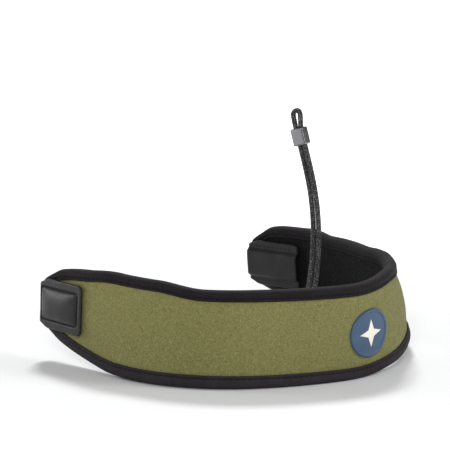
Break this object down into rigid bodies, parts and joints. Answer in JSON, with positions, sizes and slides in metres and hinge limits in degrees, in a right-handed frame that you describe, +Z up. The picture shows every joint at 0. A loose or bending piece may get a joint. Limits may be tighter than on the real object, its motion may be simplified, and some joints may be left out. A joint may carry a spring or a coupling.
{
  "type": "binocular neck strap",
  "caption": "Padded neoprene neck strap standing in an open curl, with bound edges, leather end tabs, a doubled braided cord with a sliding keeper, and a round badge.",
  "frame": {"origin": "middle of the strap's footprint on the ground, measured without the cord and its slider", "axes": "+Z up, +X towards the badge side of the curl, -Y towards the front of the curl"},
  "size_m": [0.1802, 0.1727, 0.1149],
  "materials": {
    "foam": "closed-cell neoprene foam, matt",
    "facing": "olive knitted jersey with a fine fleck",
    "lining": "black knitted jersey",
    "binding": "black ribbed elastic tape",
    "thread": "black sewing thread",
    "leather": "smooth black leather, semi-gloss",
    "anchor": "black leather block",
    "badge": "moulded slate-blue rubber, satin",
    "emblem": "cream inlay",
    "cord": "charcoal braided cord with grey flecks",
    "slider": "gunmetal moulding, glossy, bevelled edges"
  },
  "bodies": {
    "strap": {"pad_core": "foam", "pad_facing": "facing", "pad_lining": "lining", "upper_binding": "binding", "lower_binding": "binding", "upper_front_seam": "thread", "upper_back_seam": "thread", "lower_front_seam": "thread", "lower_back_seam": "thread", "left_tab_leather": "leather", "left_cord_anchor": "anchor", "left_tab_stitching": "thread", "right_tab_leather": "leather", "right_cord_anchor": "anchor", "right_tab_stitching": "thread", "badge_disc": "badge", "badge_emblem": "emblem", "cord": "cord"},
    "slider": {"slider": "slider"}
  },
  "joints": [
    {"name": "slider_slide", "type": "slide", "parent": "strap", "child": "slider", "axis": [0.2428, -0.1104, -0.9638], "range_m": [0, 0.012]}
  ]
}
